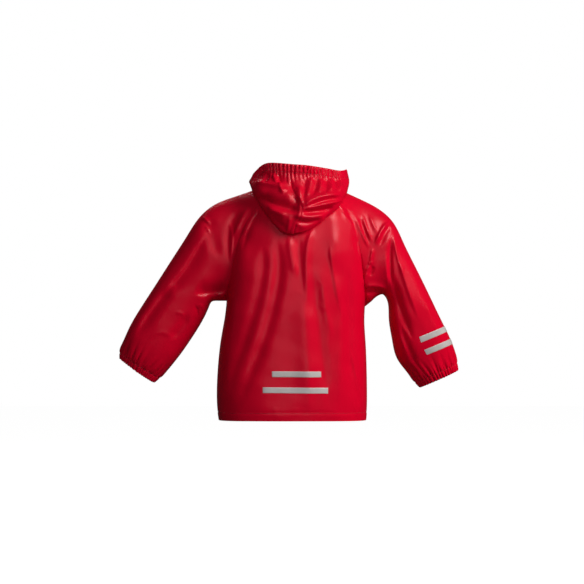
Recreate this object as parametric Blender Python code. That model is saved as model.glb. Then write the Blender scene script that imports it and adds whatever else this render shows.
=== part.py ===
"""Child's hooded rain jacket in coated cloth, filled out as worn, with no wearer.

Metres, +Z up. The wearer faces -Y and their left is +X. The origin is the middle of the neck opening at
the height of the nape, where the wearer's neck and shoulders carry the jacket.

The body is a stack of rounded sections from the neckline to the hem. Raglan seams cut it into a back and
two fronts. Each sleeve is lofted from the loop of its raglan seams to a row of rings down to the cuff.
The hood is down: each of its upright profiles rises from the neckline, turns over, drops to the bottom of
the pouch and comes up again to the gathered rim.
"""

import math

import bmesh
import bpy
import numpy as np
from mathutils import Vector

MM = 0.001
CLOTH = 1.5 * MM  # coated cloth, as one layer
TURNED = 2.4 * MM  # coated cloth turned over and stitched
TAPE = 1.0 * MM  # reflective film
SEAM_GAP = 0.34 * MM
LAID_GAP = 0.6 * MM  # under a piece that lies on a panel
SQUARE = 0.8  # power of the sections' sine and cosine: 1 is an ellipse, less is squarer
FINE = 400  # steps along a line that is read by its height

# Body sections from the neckline to the hem, in mm. lean is how far the right side hangs below the left.
# Angles are in degrees: back_seam from the centre back and front_seam from the centre front to the raglan
# or side seam, sleeve from the sleeve's top line.
BODY_COLUMNS = "z_back z_side z_front lean centre_x half_width y_back y_front back_seam front_seam sleeve"
BODY_ROWS = (
    (0, 4, -32, 0, 0, 62, 48, -58, 48, 44, 14),  # neckline
    (-18, -14, -50, 0, 0, 94, 62, -72, 42, 41, 25),
    (-44, -42, -74, 0, 0, 120, 74, -82, 42, 42, 41),
    (-72, -71, -98, 0, 0, 137, 82, -88, 45.5, 46, 60),
    (-102, -102, -124, 0, 1, 146, 88, -93, 51, 52, 80),
    (-136, -136, -152, 1, 2, 150, 93, -97, 57, 58, 101),
    (-172, -172, -182, 3, 4, 150.5, 96, -100, 63.5, 64.5, 124),
    (-208, -208, -213, 8, 5, 149.5, 97.5, -102, 72, 72.5, 150),
    (-247, -247, -247, 13, 7, 148, 98, -103, 90, 90, 180),  # underarm
    (-290, -290, -290, 9, 10, 150, 98, -104, 90, 90, 180),
    (-344, -344, -344, 3, 13, 156, 98, -105, 90, 90, 180),
    (-417, -417, -417, 0, 15, 160, 99, -105, 90, 90, 180),
    (-470, -470, -470, 0, 15, 160, 99, -104, 90, 90, 180),
    (-500, -502, -504, 0, 14, 157, 97, -101, 90, 90, 180),  # hem
)
UNDERARM = 8  # the row where the raglan seams meet the side seams

# Sleeve rings from the shoulder to the cuff's edge, in mm, with x counted away from the body.
RING_COLUMNS = "outer_x outer_z inner_x inner_z centre_y half_depth"
LEFT_RINGS = (
    (140, -23, 168, -247, 0, 54),
    (182, -40, 180, -247, -1, 53),
    (214, -67, 188, -249, -2, 52),  # shoulder point
    (241, -107, 193, -257, -4, 51),
    (272, -155, 199, -271, -7, 50),
    (310, -214, 211, -294, -10, 49),
    (342, -263, 235, -332, -14, 48),
    (368, -308, 260, -367, -18, 47),
    (381, -340, 283, -394, -21, 43),
    (386, -357, 301, -411, -23, 37),  # cuff seam
    (386.5, -371, 315, -423, -24, 32),
)
RIGHT_RINGS = (
    (130, -27, 151, -252, 0, 54),
    (170, -48, 162, -242, -1, 53),
    (201, -76, 172, -235, -2, 53),  # shoulder point
    (224, -120, 180, -233, -4, 54),
    (252, -177, 188, -240, -7, 57),
    (283, -240, 194, -281, -10, 59),
    (306, -287, 201, -329, -14, 56),
    (325, -325, 212, -371, -18, 51),
    (336, -353, 230, -396, -21, 45),
    (341, -379, 251, -420, -23, 38),  # cuff seam
    (344, -397, 263, -433, -24, 32),
)

# Hood profiles by angle from the centre back, positive to the wearer's left: how far out and how high, in
# mm, the crest, the bottom of the pouch, the swell of its outer face and the rim are.
HOOD_COLUMNS = "angle crest_r crest_z tip_r tip_z swell_r swell_z rim_r rim_z"
HOOD_ROWS = (
    (-173, 60, -24, 62, -15, 64, -6, 66, 6),
    (-150, 67, -12, 73, -4, 77, 5, 80, 17),
    (-120, 74, 10, 85, 5, 94, 14, 96, 30),
    (-90, 76, 17, 95, 1, 107, 13, 104, 37),
    (-60, 72, 17, 108, -32, 117, -6, 102, 29),
    (-40, 70, 17, 111, -56, 121, -20, 98, 29.5),
    (-20, 68, 17, 108, -80, 121, -35, 95, 32),
    (7, 66, 17, 107, -110, 121, -52, 93, 38),
    (30, 68, 17, 109, -72, 121, -30, 95, 42.5),
    (50, 71, 17, 110, -37, 118, -10, 96, 41),
    (70, 74, 16, 104, -12, 111, 3, 99, 30),
    (90, 76, 14, 95, 0, 105, 9, 100, 23),
    (120, 74, 9, 85, 4, 93, 11, 93, 22),
    (150, 67, -12, 73, -4, 77, 4, 79, 13),
    (173, 60, -24, 62, -15, 64, -6, 66, 6),
)
CASING = 20 * MM  # width of the turned rim
HOOD_CLEAR = 0.09  # how far the pouch's inner wall bows off the back, for each metre of its drop

# Broad folds seen from behind (face 1) or in front (face -1): a line of x and z from its start by its
# middle to its end, how wide it is each side and how far it stands out, in mm.
FOLD_COLUMNS = "face x0 z0 x1 z1 x2 z2 width out"
FOLD_ROWS = (
    (1, 41, -112, 50, -230, 98, -450, 20, -7),  # long trough left of the centre back
    (1, 101, -122, 107, -256, 148, -440, 17, -6),  # trough towards the left side
    (1, 26, -105, -12, -230, -26, -480, 15, 6),  # ridge under the point of the hood
    (1, -20, -100, -62, -240, -84, -480, 20, 6),  # ridge on the right of the back
    (1, -110, -250, -108, -330, -122, -470, 16, -5),
    (-1, 60, -110, 78, -260, 86, -480, 18, -6),
    (-1, -64, -110, -76, -260, -80, -480, 18, -6),
    (-1, 112, -250, 118, -340, 124, -480, 16, 5),
    (-1, -100, -260, -104, -340, -112, -480, 16, 5),
    (1, 176, -50, 162, -110, 152, -175, 13, -6),  # from the left shoulder towards the underarm
    (1, 190, -85, 262, -230, 334, -322, 15, -6),  # down the left sleeve
    (1, -196, -100, -208, -228, -238, -330, 13, -7),  # down the right sleeve
    (-1, 190, -95, 250, -225, 326, -330, 15, -6),
    (-1, -186, -100, -222, -228, -262, -340, 13, -6),
)

FOLD_STEPS = 40  # along a fold's line
FOLD_TIP = 0.02  # share of a fold's line that its ends fade over at the least
FOLD_FADE = 0.6  # power of the sine that fades a fold along its line
SEEN = 0.5  # a fold is whole where the normal's y is at least this
TAPE_HEIGHT = 12 * MM
# name, left end, right end and height of the middle, in mm
BACK_TAPES = (("back_tape_upper", 56.5, -45.5, -402.5), ("back_tape_lower", 75.5, -60, -436))
SLEEVE_TAPES = (("sleeve_tape_upper", 7.37, 7.67), ("sleeve_tape_lower", 8.10, 8.51))  # rings
SLEEVE_TAPE_ANGLES = (97, -42)  # from the sleeve's top line to its back and to its front

BACK_COLUMNS = 16
FRONT_COLUMNS = 6  # from the side or raglan seam to the flap's edge
THROAT = 24  # mm below the rim, where the elastic draws the hood in
THROAT_IN = 7
FLAP_OFFSETS = (22, 11, 0)  # mm from the centre front
HOOD_EDGE = 2
NECK_COLUMNS = 3  # of the sleeve's neckline, each side of its top
SEAM_LEVELS = (0, 1, 2, 3, 4, 5, 6, 7, 7.6, UNDERARM)  # body rows that the raglan seams share
LOWER_LEVELS = np.arange(UNDERARM + 0.5, len(BODY_ROWS) - 0.9, 0.5)  # body rows below them
SLEEVE_ROWS = (0, 0.5, 1, 2, 3, 4, 5, 6, 7, 8, 9, 10)  # rings, and 0 is the raglan seam
CUFF_ROWS = (10, 10.5, 11)
HOOD_STATIONS = (0, 0.1, 0.2, 0.32, 0.44, 0.52, 0.59, 0.66, 0.77, 0.89, 1)
CASING_STATIONS = (1, 1.5, 2)
CUFF_WAVES = 12
RIM_WAVES = 21
GATHER = 0.8 * MM
FLAP_START = 0.2  # the flap starts this share of the first row below the neckline
SNAP_HEIGHTS = (-62, -158, -254, -350, -446)
SNAP_RADIUS = 6.5 * MM
SNAP_THICK = 2.4 * MM
SNAP_SIDES = 12
SNAP_PROFILE = ((0, 0), (1, 0), (1, 0.35), (0.8, 0.8), (0.4, 1), (0, 1))  # shares of radius and height
SHARP = math.radians(40)

RED = (0.53, 0.004, 0.022, 1.0)
GREY = (0.42, 0.41, 0.37, 1.0)
COATED_ROUGHNESS = 0.35
STUD_ROUGHNESS = 0.3
FILM_ROUGHNESS = 0.4
FILM_METALLIC = 0.3


def table(columns, rows, angles=()):
    """A table's columns by name, with lengths turned to metres and the named angles to radians."""
    values = np.array(rows, float).T
    names = columns.split()
    return {n: v * (math.pi / 180 if n in angles else MM) for n, v in zip(names, values)}


BODY = table(BODY_COLUMNS, BODY_ROWS, angles=("back_seam", "front_seam", "sleeve"))
HOOD = table(HOOD_COLUMNS, HOOD_ROWS, angles=("angle",))
RINGS = {1: table(RING_COLUMNS, LEFT_RINGS), -1: table(RING_COLUMNS, RIGHT_RINGS)}
SIDES = {1: "left", -1: "right"}


def spline(knots, values, at):
    """The natural cubic curve through values at knots, read at each of at."""
    knots, values, at = (np.asarray(a, float) for a in (knots, values, at))
    gaps, last = np.diff(knots), len(knots) - 1
    slopes = np.diff(values, axis=0) / gaps.reshape(-1, *[1] * (values.ndim - 1))
    system, right = np.eye(last + 1), np.zeros_like(values)
    for i in range(1, last):
        system[i, i - 1 : i + 2] = gaps[i - 1], 2 * (gaps[i - 1] + gaps[i]), gaps[i]
        right[i] = 6 * (slopes[i] - slopes[i - 1])
    bends = np.linalg.solve(system, right)
    i = np.clip(np.searchsorted(knots, at, side="right") - 1, 0, last - 1)
    gap = gaps[i]
    share = (at - knots[i]) / gap
    if values.ndim > 1:
        gap, share = gap[..., None], share[..., None]
    before = 1 - share
    curve = (before**3 - before) * bends[i] + (share**3 - share) * bends[i + 1]
    return before * values[i] + share * values[i + 1] + curve * gap**2 / 6


def body_value(name, level):
    """A body column read at a level, counted in table rows from the neckline."""
    rows = BODY[name]
    if name in ("back_seam", "front_seam", "sleeve"):
        return spline(range(UNDERARM + 1), rows[: UNDERARM + 1], np.minimum(level, UNDERARM))
    return spline(range(len(rows)), rows, level)


def body_point(angle, level):
    """The body's outer face at an angle from the centre back, positive to the wearer's left."""
    angle, level = np.broadcast_arrays(np.asarray(angle, float), np.asarray(level, float))
    sine, cosine = np.sin(angle), np.cos(angle)
    back, front = body_value("y_back", level), body_value("y_front", level)
    x = body_value("centre_x", level)
    x = x + body_value("half_width", level) * np.sign(sine) * np.abs(sine) ** SQUARE
    y = (back + front) / 2 + (back - front) / 2 * np.sign(cosine) * np.abs(cosine) ** SQUARE
    end = np.where(cosine > 0, body_value("z_back", level), body_value("z_front", level))
    z = body_value("z_side", level) * sine**2 + end * cosine**2
    z = z - body_value("lean", level) * (1 - sine) / 2
    return np.stack([x, y, z], axis=-1)


def angle_at(offset, level):
    """The angle from the centre front or back of a point that far to one side of it."""
    share = np.abs(offset) / body_value("half_width", level)
    return np.sign(offset) * np.arcsin(np.minimum(share, 1) ** (1 / SQUARE))


LEVELS = np.concatenate([SEAM_LEVELS, LOWER_LEVELS])


def back_grid():
    across = np.linspace(1, -1, BACK_COLUMNS + 1)
    return body_point(body_value("back_seam", LEVELS)[:, None] * across, LEVELS[:, None])


def front_grid(side):
    """One front, with columns from its seam to the edge of the flap and on to the centre front."""
    seam = body_value("front_seam", LEVELS)
    flap = np.stack([angle_at(offset * MM, LEVELS) for offset in FLAP_OFFSETS], axis=1)
    share = np.linspace(0, 1, FRONT_COLUMNS + 1)[:-1]
    out = seam[:, None] + (flap[:, :1] - seam[:, None]) * share
    from_front = np.concatenate([out, flap], axis=1)
    return body_point(side * (math.pi - from_front), LEVELS[:, None])


def raglan_loop(side):
    """(points, sleeve angles) of the loop that the sleeve is sewn to, from its top by the back round."""
    back, front = BODY["back_seam"][0], math.pi - BODY["front_seam"][0]
    top = (back + front) / 2
    share = np.arange(NECK_COLUMNS) / NECK_COLUMNS
    down = np.array(SEAM_LEVELS)
    up = down[-2::-1]
    angle = [
        top + (back - top) * share,
        body_value("back_seam", down),
        math.pi - body_value("front_seam", up),
        front + (top - front) * share[1:],
    ]
    turn = [
        BODY["sleeve"][0] * share,
        body_value("sleeve", down),
        -body_value("sleeve", up),
        BODY["sleeve"][0] * (share[1:] - 1),
    ]
    level = np.concatenate([0 * share, down, up, 0 * share[1:]])
    return body_point(side * np.concatenate(angle), level), np.concatenate(turn)


def sleeve_grid(side, rows):
    """A sleeve as rows of points round it. rows counts rings, and 0 is the raglan loop."""
    loop, turn = raglan_loop(side)
    ring = RINGS[side]
    outer = np.stack([side * ring["outer_x"], ring["centre_y"], ring["outer_z"]], axis=1)
    inner = np.stack([side * ring["inner_x"], ring["centre_y"], ring["inner_z"]], axis=1)
    middle, half = (outer + inner) / 2, (outer - inner) / 2
    around = half[:, None] * np.cos(turn)[:, None] + middle[:, None]
    around[..., 1] += ring["half_depth"][:, None] * np.sin(turn)
    lines = np.concatenate([loop[None], around])
    grid = np.empty((len(rows), len(turn), 3))
    for column in range(len(turn)):
        line = lines[:, column]
        steps = np.linalg.norm(np.diff(line, axis=0), axis=1)
        knots = np.concatenate([[0], np.cumsum(steps)])
        grid[:, column] = spline(knots, line, np.interp(rows, range(len(knots)), knots))
    return grid


def hood_profile(angle, stations):
    """Points up one profile of the hood: station 0 is the neckline, 1 the casing's seam and 2 the rim."""
    start = body_point(angle, 0.0)
    centre = np.array([0, (BODY["y_back"][0] + BODY["y_front"][0]) / 2, 0])
    way = (start - centre) * (1, 1, 0)
    way = way / np.linalg.norm(way)
    value = {name: spline(HOOD["angle"], HOOD[name], angle) for name in HOOD}
    crest, tip, swell, rim = (
        centre + way * value[name + "_r"] + (0, 0, value[name + "_z"])
        for name in ("crest", "tip", "swell", "rim")
    )
    drop = (crest + tip) / 2 + way * HOOD_CLEAR * np.linalg.norm(tip - crest)
    high = rim[2] - swell[2]
    pinch = np.clip((high - THROAT * MM) / (20 * MM), 0, 1)
    pinch = pinch * pinch * (3 - 2 * pinch)
    throat = rim + (swell - rim) * min(THROAT * MM / high, 0.55) - way * THROAT_IN * MM * pinch
    line = np.array([start, crest, drop, tip, swell, throat, rim])
    knots = np.concatenate([[0], np.cumsum(np.linalg.norm(np.diff(line, axis=0), axis=1))])
    fine = spline(knots, line, np.linspace(0, knots[-1], FINE))
    along = np.concatenate([[0], np.cumsum(np.linalg.norm(np.diff(fine, axis=0), axis=1))])
    at = np.interp(stations, (0, 1, 2), (0, along[-1] - CASING, along[-1]))
    return np.stack([np.interp(at, along, fine[:, k]) for k in range(3)], axis=1)


def neck_angles(side):
    """The angles of the points round the neckline from the centre back to the hood's front edge."""
    back = np.linspace(0, BODY["back_seam"][0], BACK_COLUMNS // 2 + 1)
    front = math.pi - BODY["front_seam"][0]
    over = np.linspace(back[-1], front, 2 * NECK_COLUMNS + 1)[1:]
    flap = math.pi - angle_at(FLAP_OFFSETS[0] * MM, 0.0)
    last = front + (flap - front) * np.linspace(0, 1, FRONT_COLUMNS + 1)[1:]
    edge = math.pi - angle_at(HOOD_EDGE * MM, 0.0)
    return side * np.concatenate([back, over, last, [edge]])


def fold_height(points, normals):
    """How far the broad folds move each point out along its normal."""
    height = np.zeros(points.shape[:-1])
    for row in FOLD_ROWS:
        face, *line, width, out = row
        knots = np.array(line, float).reshape(3, 2) * MM
        path = spline((0, 0.5, 1), knots, np.linspace(0, 1, FOLD_STEPS + 1))
        flat = points[..., None, (0, 2)] - path
        far = np.linalg.norm(flat, axis=-1)
        nearest = far.argmin(axis=-1)
        end = np.sin(math.pi * np.clip(nearest / FOLD_STEPS, FOLD_TIP, 1 - FOLD_TIP)) ** FOLD_FADE
        seen = np.clip(face * normals[..., 1] / SEEN, 0, 1)
        cross = np.exp(-((far.min(axis=-1) / (width * MM)) ** 2))
        height += out * MM * cross * end * seen**2 * (3 - 2 * seen)
    return height


def grid_normals(grid, ring=False):
    """Unit normals of a grid of points, by the differences of its neighbours."""
    down = np.gradient(grid, axis=0)
    across = np.gradient(grid, axis=1)
    if ring:
        across = np.roll(grid, -1, axis=1) - np.roll(grid, 1, axis=1)
    normal = np.cross(down, across)
    return normal / np.maximum(np.linalg.norm(normal, axis=-1, keepdims=True), 1e-12)


def shared_normals(panels):
    """Each panel's normals, averaged where panels meet, so that their walls stay side by side."""
    found, total = {}, {}
    for name, (grid, ring) in panels.items():
        found[name] = grid_normals(grid, ring)
        for point, normal in zip(grid.reshape(-1, 3), found[name].reshape(-1, 3)):
            key = tuple(np.round(point / MM, 2))
            total[key] = total.get(key, 0) + normal
    for name, (grid, _) in panels.items():
        normals = np.array([total[tuple(np.round(p / MM, 2))] for p in grid.reshape(-1, 3)])
        normals /= np.linalg.norm(normals, axis=1, keepdims=True)
        found[name] = normals.reshape(grid.shape)
    return found


def cloth_material(name, colour, roughness, metallic=0.0):
    """A plain finish, made once for each name."""
    if name in bpy.data.materials:
        return bpy.data.materials[name]
    material = bpy.data.materials.new(name)
    material.use_nodes = True
    shader = material.node_tree.nodes["Principled BSDF"]
    shader.inputs["Base Color"].default_value = colour
    shader.inputs["Roughness"].default_value = roughness
    shader.inputs["Metallic"].default_value = metallic
    return material


def coated():
    return cloth_material("coated_cloth", RED, COATED_ROUGHNESS)


def close_edge(shape, outer, inner):
    """The strip of faces along a wall's edge. Each is split from its lower outer point, so that the
    twisted faces on the two sides of a seam stay parallel."""
    for a, b, c, d in zip(outer, outer[1:], inner[1:], inner):
        if a.co.z > b.co.z:
            a, b, c, d = b, a, d, c
        shape.faces.new((a, b, c))
        shape.faces.new((a, c, d))


def wall(name, outer, inner, ring, material):
    """A closed wall between two grids of points. With ring, its last column meets its first."""
    mesh = bpy.data.meshes.new(name)
    shape = bmesh.new()
    sheets = [[[shape.verts.new(p) for p in line] for line in grid] for grid in (outer, inner)]
    if ring:
        sheets = [[line + line[:1] for line in sheet] for sheet in sheets]
    for sheet in sheets:
        for upper, lower in zip(sheet, sheet[1:]):
            for corners in zip(upper, lower, lower[1:], upper[1:]):
                shape.faces.new(corners)
    out, back = sheets
    close_edge(shape, out[0], back[0])
    close_edge(shape, out[-1], back[-1])
    if not ring:
        close_edge(shape, [line[0] for line in out], [line[0] for line in back])
        close_edge(shape, [line[-1] for line in out], [line[-1] for line in back])
    bmesh.ops.recalc_face_normals(shape, faces=shape.faces)
    if shape.calc_volume(signed=True) < 0:
        bmesh.ops.reverse_faces(shape, faces=shape.faces)
    shape.to_mesh(mesh)
    shape.free()
    mesh.shade_smooth()
    mesh.set_sharp_from_angle(angle=SHARP)
    mesh.materials.append(material)
    piece = bpy.data.objects.new(name, mesh)
    bpy.context.scene.collection.objects.link(piece)
    return piece


def eased(grid, sides):
    """The grid with its named edges drawn back by half the gap at a seam."""
    grid = grid.copy()
    edges = {
        "top": (grid[0], grid[1]),
        "bottom": (grid[-1], grid[-2]),
        "first": (grid[:, 0], grid[:, 1]),
        "last": (grid[:, -1], grid[:, -2]),
    }
    for side in sides:
        edge, next_to = edges[side]
        way = next_to - edge
        edge += way / np.linalg.norm(way, axis=-1, keepdims=True) * SEAM_GAP / 2
    return grid


def sew(name, grid, normals, seams, ring=False, thick=CLOTH):
    outer = eased(grid, seams)
    inner = outer - normals * thick
    return wall(name, outer, inner, ring, coated())


def lay_on(name, grid, normals, thick, material, gap=LAID_GAP):
    """A piece whose points are a panel's points moved out."""
    return wall(name, grid + normals * (gap + thick), grid + normals * gap, False, material)


def read_grid(grid, row, column, ring=False):
    """A grid read between its points."""
    if ring:
        grid = np.concatenate([grid, grid[:, :1]], axis=1)
    r = np.clip(np.floor(row).astype(int), 0, grid.shape[0] - 2)
    c = np.clip(np.floor(column).astype(int), 0, grid.shape[1] - 2)
    u, v = (row - r)[..., None], (column - c)[..., None]
    near = grid[r, c] * (1 - v) + grid[r, c + 1] * v
    return near * (1 - u) + (grid[r + 1, c] * (1 - v) + grid[r + 1, c + 1] * v) * u


def gathered(grid, normals, waves, ring=False):
    """(points, normals) with twice the columns, and even gathers from its second row on."""
    rows, columns = grid.shape[:2]
    halves = np.arange(0, columns if ring else columns - 0.5, 0.5)
    row, column = np.meshgrid(range(rows), halves, indexing="ij")
    points, out = (read_grid(g, row, column, ring) for g in (grid, normals))
    out /= np.linalg.norm(out, axis=-1, keepdims=True)
    wave = np.sin(2 * math.pi * waves * column / columns) * (row > 0)
    return points + out * (GATHER * wave)[..., None], out


def shell():
    """The back, the fronts and the sleeves with their cuffs: the grids with broad folds, and normals."""
    panels = {"back": (back_grid(), False)}
    for side, word in SIDES.items():
        # Columns run so that every normal points out.
        panels["front_" + word] = (front_grid(side)[:, ::-side], False)
        panels["sleeve_" + word] = (sleeve_grid(side, SLEEVE_ROWS + CUFF_ROWS[1:])[:, ::side], True)
    normals = shared_normals(panels)
    grids = {}
    for name, (grid, _) in panels.items():
        grids[name] = grid + normals[name] * fold_height(grid, normals[name])[..., None]
    return grids, normals


def make_shell(grids, normals):
    sew("back", grids["back"], normals["back"], ("top", "first", "last"))
    for side, word in SIDES.items():
        front, sleeve = "front_" + word, "sleeve_" + word
        sew(front, grids[front], normals[front], ("top", "first", "last"))
        grid, out = grids[sleeve], normals[sleeve]
        long = len(SLEEVE_ROWS)
        sew(sleeve, grid[:long], out[:long], ("top", "bottom"), ring=True)
        cuff = gathered(grid[long - 1 :], out[long - 1 :], CUFF_WAVES, ring=True)
        sew("cuff_" + word, *cuff, ("top",), ring=True, thick=TURNED)


def make_hood():
    """Two halves sewn down the centre back, and one turned casing along the rim."""
    left, right = neck_angles(1), neck_angles(-1)
    angles = np.concatenate([right[::-1], left[1:]])
    seam = len(right) - 1
    stations = HOOD_STATIONS + CASING_STATIONS[1:]
    whole = np.stack([hood_profile(angle, stations) for angle in angles], axis=1)
    out = grid_normals(whole)
    high = len(HOOD_STATIONS)
    for name, part in (("hood_right", slice(0, seam + 1)), ("hood_left", slice(seam, None))):
        seams = ("top", "bottom", "last" if name == "hood_right" else "first")
        sew(name, whole[:high, part], out[:high, part], seams)
    casing = gathered(whole[high - 1 :], out[high - 1 :], RIM_WAVES)
    sew("hood_casing", *casing, ("top",), thick=TURNED)


def make_flap(grids, normals):
    """The flap over the centre front, made from the points of the fronts, and its press studs."""
    across = len(FLAP_OFFSETS)
    joined = []
    for pieces in (grids, normals):
        left, right = pieces["front_left"][:, :across], pieces["front_right"][:, -across:]
        joined.append(np.concatenate([right, left[:, 1:]], axis=1))
    grid, normal = joined
    grid[0] += (grid[1] - grid[0]) * FLAP_START
    lay_on("front_flap", grid, normal, TURNED, coated())
    level = np.linspace(0, len(BODY_ROWS) - 1, FINE)
    line = body_point(math.pi, level)
    slope = np.gradient(line, axis=0)
    for number, height in enumerate(SNAP_HEIGHTS, 1):
        at = np.abs(line[:, 2] - height * MM).argmin()
        out = Vector(slope[at]).cross(Vector((1, 0, 0))).normalized()
        make_snap(f"snap_{number}", Vector(line[at]), -out if out.y > 0 else out)


def make_snap(name, foot, out):
    """A press stud's cap: a low turned disc that stands just clear of the flap."""
    mesh = bpy.data.meshes.new(name)
    shape = bmesh.new()
    line = [shape.verts.new((r * SNAP_RADIUS, 0, z * SNAP_THICK)) for r, z in SNAP_PROFILE]
    edges = [shape.edges.new(pair) for pair in zip(line, line[1:])]
    bmesh.ops.spin(
        shape, geom=line + edges, axis=(0, 0, 1), cent=(0, 0, 0), angle=2 * math.pi, steps=SNAP_SIDES
    )
    bmesh.ops.remove_doubles(shape, verts=shape.verts, dist=MM / 1000)
    bmesh.ops.recalc_face_normals(shape, faces=shape.faces)
    shape.to_mesh(mesh)
    shape.free()
    mesh.materials.append(cloth_material("press_stud", RED, STUD_ROUGHNESS))
    snap = bpy.data.objects.new(name, mesh)
    snap.location = foot + out * (LAID_GAP + TURNED + LAID_GAP)
    snap.rotation_mode = "QUATERNION"
    snap.rotation_quaternion = out.to_track_quat("Z", "Y")
    bpy.context.scene.collection.objects.link(snap)


def between(start, end):
    """start, end and the whole numbers between them."""
    low, high = min(start, end), max(start, end)
    inside = [float(k) for k in range(math.ceil(low), math.floor(high) + 1)]
    return np.array(sorted({low, high, *inside}))


def lay_tape(name, grid, normals, rows, columns, ring=False):
    """A strip of reflective film on a panel, between rows and columns of its grid."""
    row, column = np.meshgrid(between(*rows), between(*columns), indexing="ij")
    if ring:
        column = column % grid.shape[1]
    points = read_grid(grid, row, column, ring)
    out = read_grid(normals, row, column, ring)
    out /= np.linalg.norm(out, axis=-1, keepdims=True)
    grey = cloth_material("reflective_film", GREY, FILM_ROUGHNESS, FILM_METALLIC)
    lay_on(name, points, out, TAPE, grey)


def make_tapes(grids, normals):
    level = np.linspace(UNDERARM, len(BODY_ROWS) - 1, FINE)
    for name, left, right, height in BACK_TAPES:
        edges = (height * MM + TAPE_HEIGHT / 2, height * MM - TAPE_HEIGHT / 2)
        at = np.interp([-e for e in edges], -body_value("z_back", level), level)
        rows = np.interp(at, LEVELS, range(len(LEVELS)))
        middle = float(body_value("centre_x", at[0]))
        angles = [float(angle_at(x * MM - middle, at[0])) for x in (left, right)]
        columns = [BACK_COLUMNS / 2 * (1 - a / (math.pi / 2)) for a in angles]
        lay_tape(name, grids["back"], normals["back"], rows, columns)
    turn = raglan_loop(-1)[1][::-1]
    index = np.arange(len(turn)) + np.where(turn < 0, len(turn), 0)
    order = np.argsort(turn)
    columns = np.interp(np.radians(SLEEVE_TAPE_ANGLES), turn[order], index[order])
    for name, start, end in SLEEVE_TAPES:
        rows = np.interp((start, end), SLEEVE_ROWS, np.arange(len(SLEEVE_ROWS)))
        piece = grids["sleeve_right"], normals["sleeve_right"]
        lay_tape(name, *piece, rows, columns, ring=True)


def main():
    for old in list(bpy.data.objects):
        bpy.data.objects.remove(old)
    grids, normals = shell()
    make_shell(grids, normals)
    make_hood()
    make_flap(grids, normals)
    make_tapes(grids, normals)


main()
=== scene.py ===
"""A child's hooded rain jacket in coated cloth, filled out as worn with its hood down.

Metres, +Z up. The wearer faces -Y and their left is +X, and the origin is the middle of the neck opening.
"""

import math

import bpy
import numpy as np
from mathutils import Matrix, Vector


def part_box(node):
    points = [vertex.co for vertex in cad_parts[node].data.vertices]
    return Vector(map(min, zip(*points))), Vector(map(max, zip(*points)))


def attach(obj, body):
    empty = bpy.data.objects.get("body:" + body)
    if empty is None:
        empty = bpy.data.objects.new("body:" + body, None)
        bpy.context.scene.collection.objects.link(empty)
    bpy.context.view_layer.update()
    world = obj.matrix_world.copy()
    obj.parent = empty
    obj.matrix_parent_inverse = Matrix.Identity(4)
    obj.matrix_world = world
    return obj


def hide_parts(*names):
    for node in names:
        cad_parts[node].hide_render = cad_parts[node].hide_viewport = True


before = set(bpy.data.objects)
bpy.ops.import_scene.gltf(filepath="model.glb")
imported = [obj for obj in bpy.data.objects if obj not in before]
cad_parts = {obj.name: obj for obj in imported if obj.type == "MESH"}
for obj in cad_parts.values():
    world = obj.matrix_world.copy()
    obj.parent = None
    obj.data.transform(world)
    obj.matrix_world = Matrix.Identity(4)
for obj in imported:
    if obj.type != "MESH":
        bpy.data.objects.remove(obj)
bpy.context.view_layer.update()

# ---- Back --------------------------------------
# One piece of polyester knit with a polyurethane coat on its outer face, cut from raglan to raglan and
# down to the hem. The seams are lapped and welded, and the hem is turned up 17 mm and stitched.

MM = 0.001
CLOTH = 1.2 * MM
SEAM_OVERLAP = 0.4 * MM  # so that no light passes between two panels
STEP = 2.6 * MM  # between a panel's points
SQUARE = 0.8  # power of the sections' sine and cosine: 1 is an ellipse, less is squarer
HEM = 17 * MM

# The shell's sections from the neckline to the hem, in mm and degrees. lean is how far the right side
# hangs below the left, back_seam and front_seam count from the centre back and front to the raglan seam,
# and sleeve is where on the sleeve that point is sewn, from the sleeve's top line.
SHELL_COLUMNS = "z_back z_side z_front lean centre_x half_width y_back y_front back_seam front_seam sleeve"
SHELL_ROWS = (
    (0, 4, -32, 0, 0, 62, 48, -58, 48, 44, 14),  # neckline
    (-18, -14, -50, 0, 0, 94, 62, -72, 42, 41, 25),
    (-44, -42, -74, 0, 0, 120, 74, -82, 42, 42, 41),
    (-72, -71, -98, 0, 0, 137, 82, -88, 45.5, 46, 60),
    (-102, -102, -124, 0, 1, 146, 88, -93, 51, 52, 80),
    (-136, -136, -152, 1, 2, 150, 93, -97, 57, 58, 101),
    (-172, -172, -182, 3, 4, 150.5, 96, -100, 63.5, 64.5, 124),
    (-208, -208, -213, 8, 5, 149.5, 97.5, -102, 72, 72.5, 150),
    (-247, -247, -247, 13, 7, 148, 98, -103, 90, 90, 180),  # underarm
    (-290, -290, -290, 9, 10, 150, 98, -104, 90, 90, 180),
    (-344, -344, -344, 3, 13, 156, 98, -105, 90, 90, 180),
    (-417, -417, -417, 0, 15, 160, 99, -105, 90, 90, 180),
    (-470, -470, -470, 0, 15, 160, 99, -104, 90, 90, 180),
    (-500, -502, -504, 0, 14, 157, 97, -101, 90, 90, 180),  # hem
)
UNDERARM = 8
LAST = len(SHELL_ROWS) - 1

BACK_COLUMNS = 131
LAP = 6 * MM  # width of a welded lap, and how far it stands out
LAP_OUT = 0.7 * MM
CREASE_POINTS = 25
CREASE_REACH = 3.5  # how many widths from its line a crease still shows
SWELLS = 16

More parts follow.
